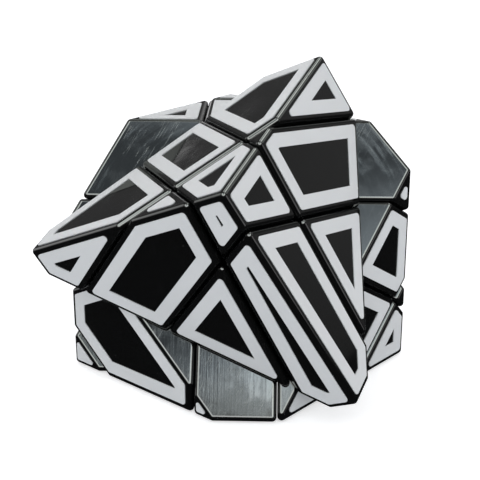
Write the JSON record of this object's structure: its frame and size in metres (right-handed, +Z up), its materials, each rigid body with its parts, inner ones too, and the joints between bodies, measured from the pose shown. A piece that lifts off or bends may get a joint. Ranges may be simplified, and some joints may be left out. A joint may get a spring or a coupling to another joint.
{
  "type": "twisty puzzle cube",
  "caption": "Shape-changing twisty puzzle cube with skewed layers and pale outline stickers on glossy black pieces, its front layer turned part-way.",
  "frame": {"origin": "on the resting plane, straight below the core that all the layers turn about", "axes": "+Z up; +X out of the solved cube's right face; -Y out of its left face; the front layer's axis leans towards +X, -Y and +Z"},
  "size_m": [0.0738, 0.0718, 0.0756],
  "materials": {
    "shell_plastic": "glossy moulded black with light handling scratches",
    "sticker": "satin pale grey-white vinyl",
    "body_plastic": "moulded black, semi-gloss",
    "foot_plastic": "moulded black, satin from sliding",
    "core_plastic": "moulded light grey, satin",
    "screw_steel": "zinc-plated",
    "washer_steel": "zinc-plated",
    "spring_steel": "drawn wire"
  },
  "bodies": {
    "middle_slice": {"centre_screws": "screw_steel", "centre_springs": "spring_steel", "centre_washers": "washer_steel", "core_spider": "core_plastic", "middle_cap_bottom": "shell_plastic", "middle_cap_left": "shell_plastic", "middle_cap_right": "shell_plastic", "middle_cap_top": "shell_plastic", "middle_centre_bodies": "body_plastic", "middle_centre_stickers": "sticker", "middle_edge_feet": "foot_plastic", "middle_edge_lower_left": "shell_plastic", "middle_edge_lower_right": "shell_plastic", "middle_edge_stickers": "sticker", "middle_edge_upper_left": "shell_plastic", "middle_edge_upper_right": "shell_plastic"},
    "front_layer": {"front_centre_body": "body_plastic", "front_centre_cap": "shell_plastic", "front_centre_stickers": "sticker", "front_corner_bottom": "shell_plastic", "front_corner_feet": "foot_plastic", "front_corner_left": "shell_plastic", "front_corner_right": "shell_plastic", "front_corner_stickers": "sticker", "front_corner_top": "shell_plastic", "front_edge_feet": "foot_plastic", "front_edge_lower_left": "shell_plastic", "front_edge_lower_right": "shell_plastic", "front_edge_stickers": "sticker", "front_edge_upper_left": "shell_plastic", "front_edge_upper_right": "shell_plastic"},
    "back_layer": {"back_centre_body": "body_plastic", "back_centre_cap": "shell_plastic", "back_centre_stickers": "sticker", "back_corner_bottom": "shell_plastic", "back_corner_feet": "foot_plastic", "back_corner_left": "shell_plastic", "back_corner_right": "shell_plastic", "back_corner_stickers": "sticker", "back_corner_top": "shell_plastic", "back_edge_feet": "foot_plastic", "back_edge_lower_left": "shell_plastic", "back_edge_lower_right": "shell_plastic", "back_edge_stickers": "sticker", "back_edge_upper_left": "shell_plastic", "back_edge_upper_right": "shell_plastic"}
  },
  "joints": [
    {"name": "front_turn", "type": "hinge", "parent": "middle_slice", "child": "front_layer", "pos_m": [0, 0, 0.0297], "axis": [0.5, -0.6124, 0.6124], "continuous": true},
    {"name": "back_turn", "type": "hinge", "parent": "middle_slice", "child": "back_layer", "pos_m": [0, 0, 0.0297], "axis": [-0.5, 0.6124, -0.6124], "continuous": true}
  ]
}
